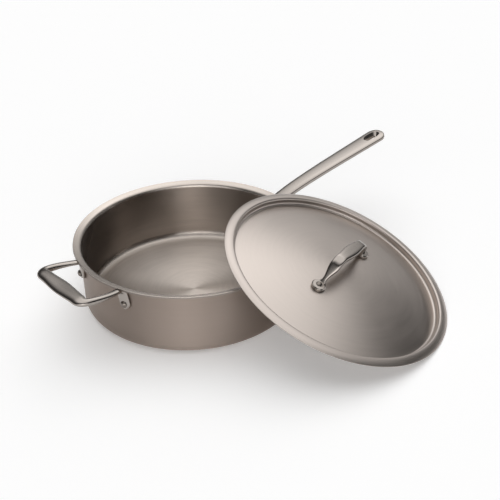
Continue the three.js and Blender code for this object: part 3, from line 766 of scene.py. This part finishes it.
def steel(name, color, grain, roughness, anisotropy=0, contrast=0.05, bump=0.012, polish=1):
    """Satin steel. grain is a function that adds the nodes of the brush marks' coordinate.

    polish is the share of the roughness that is left a little above the pan's floor, in its corner and wall.
    """
    material, nodes = new_material(name)
    marks = nodes.add(
        "ShaderNodeTexNoise",
        {"Vector": grain(nodes), "Scale": 1, "Detail": MARK_DETAIL, "Roughness": MARK_ROUGHNESS},
    )
    place = nodes.add("ShaderNodeTexCoord", output="Object")
    clouds = nodes.add("ShaderNodeTexNoise", {"Vector": place, "Scale": CLOUD_SCALE, "Detail": CLOUD_DETAIL})
    mixed = nodes.add("ShaderNodeMath", {0: marks, 1: clouds}, operation="ADD")
    tone = nodes.remap(mixed, MIXED_LOW, MIXED_HIGH, 0, 1)
    ramp = nodes.tree.nodes.new("ShaderNodeValToRGB")
    ramp.color_ramp.elements[0].color = shade(color, 1 - contrast)
    ramp.color_ramp.elements[1].color = shade(color, 1 + contrast)
    nodes.tree.links.new(tone, ramp.inputs["Fac"])
    smoothest = roughness * (1 - ROUGHNESS_SPREAD)
    roughest = roughness * (1 + ROUGHNESS_SPREAD)
    rough = nodes.remap(mixed, MIXED_LOW, MIXED_HIGH, smoothest, roughest)
    if polish < 1:
        height = nodes.add("ShaderNodeSeparateXYZ", {0: place}, output="Z")
        wall = nodes.remap(height, SHEET * MM, (SHEET + POLISH_RISE) * MM, 1, polish)
        rough = nodes.add("ShaderNodeMath", {0: rough, 1: wall}, operation="MULTIPLY")
    relief = nodes.add("ShaderNodeBump", {"Height": marks, "Strength": bump, "Distance": MARK_DEPTH * MM})
    inputs = {
        "Base Color": ramp.outputs["Color"],
        "Metallic": 1,
        "Roughness": rough,
        "Normal": relief,
        "Anisotropic": anisotropy,
        "Anisotropic Rotation": BRUSH_TURN,
    }
    if anisotropy:
        inputs["Tangent"] = nodes.add("ShaderNodeTangent", direction_type="UV_MAP", uv_map=GRAIN)
    surface = nodes.add("ShaderNodeBsdfPrincipled", inputs)
    nodes.add("ShaderNodeOutputMaterial", {"Surface": surface})
    return material


def spun(nodes):
    """Brush marks in rings: streaks that are long round the axis and fine across."""
    way = nodes.add("ShaderNodeUVMap", uv_map=GRAIN)
    turn = nodes.add("ShaderNodeSeparateXYZ", {0: way}, output="X")
    across = nodes.add("ShaderNodeSeparateXYZ", {0: way}, output="Y")
    angle = nodes.add("ShaderNodeMath", {0: turn, 1: 2 * math.pi}, operation="MULTIPLY")
    spoke_x = nodes.add("ShaderNodeMath", {0: angle}, operation="COSINE")
    spoke_y = nodes.add("ShaderNodeMath", {0: angle}, operation="SINE")
    spoke = nodes.add("ShaderNodeCombineXYZ", {"X": spoke_x, "Y": spoke_y, "Z": across})
    return nodes.add("ShaderNodeVectorMath", {0: spoke, 1: SPUN_SCALE}, operation="MULTIPLY")


def polished(nodes):
    """Fine marks of belt polishing, drawn out along a cast piece."""
    way = nodes.add("ShaderNodeUVMap", uv_map=GRAIN)
    return nodes.add("ShaderNodeVectorMath", {0: way, 1: POLISH_SCALE}, operation="MULTIPLY")


def dress(piece, node, body, material):
    """Gives a piece its material and puts it in the place of a solid."""
    piece.data.materials.clear()
    piece.data.materials.append(material)
    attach(piece, body)
    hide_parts(node)


# The outside steel is darker than the inside steel: its colour holds painted shade, for the darker
# surroundings that the outside wall reflects.
OUTER_STEEL_SHADED = steel("outer_steel_shaded", (0.374, 0.31, 0.27), spun, roughness=0.5, anisotropy=0.92)
INNER_STEEL = steel(
    "inner_steel", (0.516, 0.462, 0.418), spun, roughness=0.38, anisotropy=0.97, contrast=0.1, polish=0.6
)
LID_STEEL = steel("lid_steel", (0.47, 0.42, 0.385), spun, roughness=0.33, anisotropy=0.4)
CORE_METAL = steel("core_metal", (0.24, 0.21, 0.19), spun, roughness=0.42)
# The cast steel's colour is darkened with painted shade, for the dark surroundings that the handles' sides
# reflect.
CAST_STEEL_SHADED = steel("cast_steel_shaded", (0.35, 0.317, 0.29), polished, roughness=0.18, contrast=0.02, bump=0.01)
# The rivets' steel is darker still: painted shade for the dark ring round each rivet head.
RIVET_STEEL_SHADED = steel("rivet_steel_shaded", (0.2, 0.175, 0.155), polished, roughness=0.18, contrast=0.02, bump=0.01)

core_depth = OUTER_PLY + BOND_GAP
inner_depth = core_depth + CORE_PLY + BOND_GAP
outer_skin = ply("pan_outside_spun", 0, OUTER_PLY, round_outside=RIM_ROUND)
core = ply("pan_core_bonded", core_depth, CORE_PLY)
inner_skin = ply("pan_inside_spun", inner_depth, INNER_PLY, round_inside=RIM_ROUND)
dress(outer_skin, "pan_outer_ply", "pan", OUTER_STEEL_SHADED)
dress(core, "pan_core_ply", "pan", CORE_METAL)
dress(inner_skin, "pan_inner_ply", "pan", INNER_STEEL)
dress(long_handle(), "long_handle", "pan", CAST_STEEL_SHADED)
dress(helper_handle(), "helper_handle", "pan", CAST_STEEL_SHADED)

plate_top = RIM_HEIGHT - PLATE_DROP
plate_angle = math.asin((PLATE_WIDTH / 2 - PLATE_CORNER) / SEAT_RADIUS)
plate_low = plate_top - PLATE_HEIGHT + PLATE_CORNER
helper_face = SEAT_RADIUS + HELPER_TAB_THICKNESS
plate_face = SEAT_RADIUS + PLATE_THICKNESS
helper_rivet_height = RIM_HEIGHT - HELPER_RIVET_DROP
PAN_RIVETS = (
    ("helper_rivet_far", math.pi - HELPER_RIVET_ANGLE, helper_rivet_height, helper_face),
    ("helper_rivet_near", math.pi + HELPER_RIVET_ANGLE, helper_rivet_height, helper_face),
    ("handle_rivet_left", plate_angle, plate_top - PLATE_CORNER, plate_face),
    ("handle_rivet_right", -plate_angle, plate_top - PLATE_CORNER, plate_face),
    ("handle_rivet_low", 0, plate_low, plate_face),
)
for node, azimuth, height, face in PAN_RIVETS:
    dress(pan_rivet(f"{node}_domed", azimuth, height, face), node, "pan", RIVET_STEEL_SHADED)

dress(lid_shell(), "lid_shell", "lid", LID_STEEL)
dress(lid_handle(), "lid_handle", "lid", CAST_STEEL_SHADED)
for node, side in (("lid_rivet_near", -1), ("lid_rivet_far", 1)):
    dress(lid_rivet(f"{node}_domed", side), node, "lid", RIVET_STEEL_SHADED)


# Floor, with its radius in metres
WHITE = (1, 1, 1, 1)
FLOOR_RADIUS = 30
FLOOR_SEGMENTS = 96
FLOOR_COLOR = (0.96, 0.96, 0.96, 1)
FLOOR_GLOW = 0.19


def seen_ray(nodes):
    """One for rays from the camera, in reflections and through glass, and zero for rays that only light."""
    path = nodes.tree.nodes.new("ShaderNodeLightPath")
    seen = path.outputs["Is Camera Ray"]
    for ray in ("Is Glossy Ray", "Is Transmission Ray"):
        seen = nodes.add("ShaderNodeMath", {0: seen, 1: path.outputs[ray]}, operation="MAXIMUM")
    return seen


def floor_material():
    """A pale floor that shows white to the camera and to reflections, and still takes a shadow."""
    material, nodes = new_material("floor")
    glow = nodes.add("ShaderNodeMath", {0: seen_ray(nodes), 1: FLOOR_GLOW}, operation="MULTIPLY")
    surface = nodes.add(
        "ShaderNodeBsdfPrincipled",
        {
            "Base Color": FLOOR_COLOR,
            "Roughness": 1,
            "Specular IOR Level": 0,
            "Emission Color": WHITE,
            "Emission Strength": glow,
        },
    )
    nodes.add("ShaderNodeOutputMaterial", {"Surface": surface})
    return material


def floor():
    """A wide disc under the part, which belongs to the stage and not to the part."""
    shape = bmesh.new()
    bmesh.ops.create_circle(shape, cap_ends=True, segments=FLOOR_SEGMENTS, radius=FLOOR_RADIUS)
    mesh = bpy.data.meshes.new("floor")
    shape.to_mesh(mesh)
    shape.free()
    mesh.materials.append(floor_material())
    piece = bpy.data.objects.new("floor", mesh)
    bpy.context.scene.collection.objects.link(piece)


# Light, with angles in degrees
ROOM_LEVEL = 0.07
# Each soft light: azimuth, elevation, half angles of its bright middle and of its edge, and level
SOFT_LIGHTS = (
    (41, 78, 24, 53, 1.4),
    (32, 36, 10, 33, 0.7),
    (210, 4, 6, 40, 1.6),
    (242, 4, 6, 40, 1.6),
)
# The floor's white goes on above the horizon as a low backdrop: elevations where it fades and where it ends
BACKDROP_WHITE = 4
BACKDROP_TOP = 7


def room():
    """A dim studio: soft lights as smooth spots on the sky, and a low white backdrop."""
    world = bpy.data.worlds.new("room")
    world.use_nodes = True
    world.node_tree.nodes.clear()
    nodes = Nodes(world.node_tree)
    direction = nodes.add("ShaderNodeTexCoord", output="Generated")
    level = ROOM_LEVEL
    for azimuth, elevation, middle, edge, strength in SOFT_LIGHTS:
        turn, rise = math.radians(azimuth), math.radians(elevation)
        aim = (math.cos(rise) * math.cos(turn), math.cos(rise) * math.sin(turn), math.sin(rise))
        facing = nodes.add(
            "ShaderNodeVectorMath", {0: direction, 1: aim}, output="Value", operation="DOT_PRODUCT"
        )
        outside, inside = math.cos(math.radians(edge)), math.cos(math.radians(middle))
        spot = nodes.remap(facing, outside, inside, 0, strength, "SMOOTHSTEP")
        level = nodes.add("ShaderNodeMath", {0: spot, 1: level}, operation="ADD")
    height = nodes.add("ShaderNodeSeparateXYZ", {0: direction}, output="Z")
    top, white = math.sin(math.radians(BACKDROP_TOP)), math.sin(math.radians(BACKDROP_WHITE))
    backdrop = nodes.remap(height, top, white, 0, seen_ray(nodes), "SMOOTHSTEP")
    level = nodes.add("ShaderNodeMath", {0: backdrop, 1: level}, operation="MAXIMUM")
    glow = nodes.add("ShaderNodeBackground", {"Color": WHITE, "Strength": level})
    nodes.add("ShaderNodeOutputWorld", {"Surface": glow})
    bpy.context.scene.world = world


# Camera, where the photograph was taken from
CAMERA_SPOT = Vector((-589.44, -810.46, 653.76))
CAMERA_RIGHT = Vector((0.7557, -0.6544, -0.0259))
CAMERA_UP = Vector((0.3533, 0.3741, 0.8575))
CAMERA_LENS = 70.43
SENSOR = 36


def camera():
    """The camera, from its place, its right and its up in the frame of the solids."""
    data = bpy.data.cameras.new("camera")
    data.sensor_width = SENSOR
    data.lens = CAMERA_LENS
    eye = bpy.data.objects.new("camera", data)
    right = CAMERA_RIGHT.normalized()
    back = right.cross(CAMERA_UP).normalized()
    up = back.cross(right)
    turn = Matrix((right, up, back)).transposed().to_4x4()
    eye.matrix_world = Matrix.Translation(CAMERA_SPOT * MM) @ turn
    bpy.context.scene.collection.objects.link(eye)
    bpy.context.scene.camera = eye


floor()
room()
camera()
bpy.context.scene.view_settings.view_transform = "Standard"
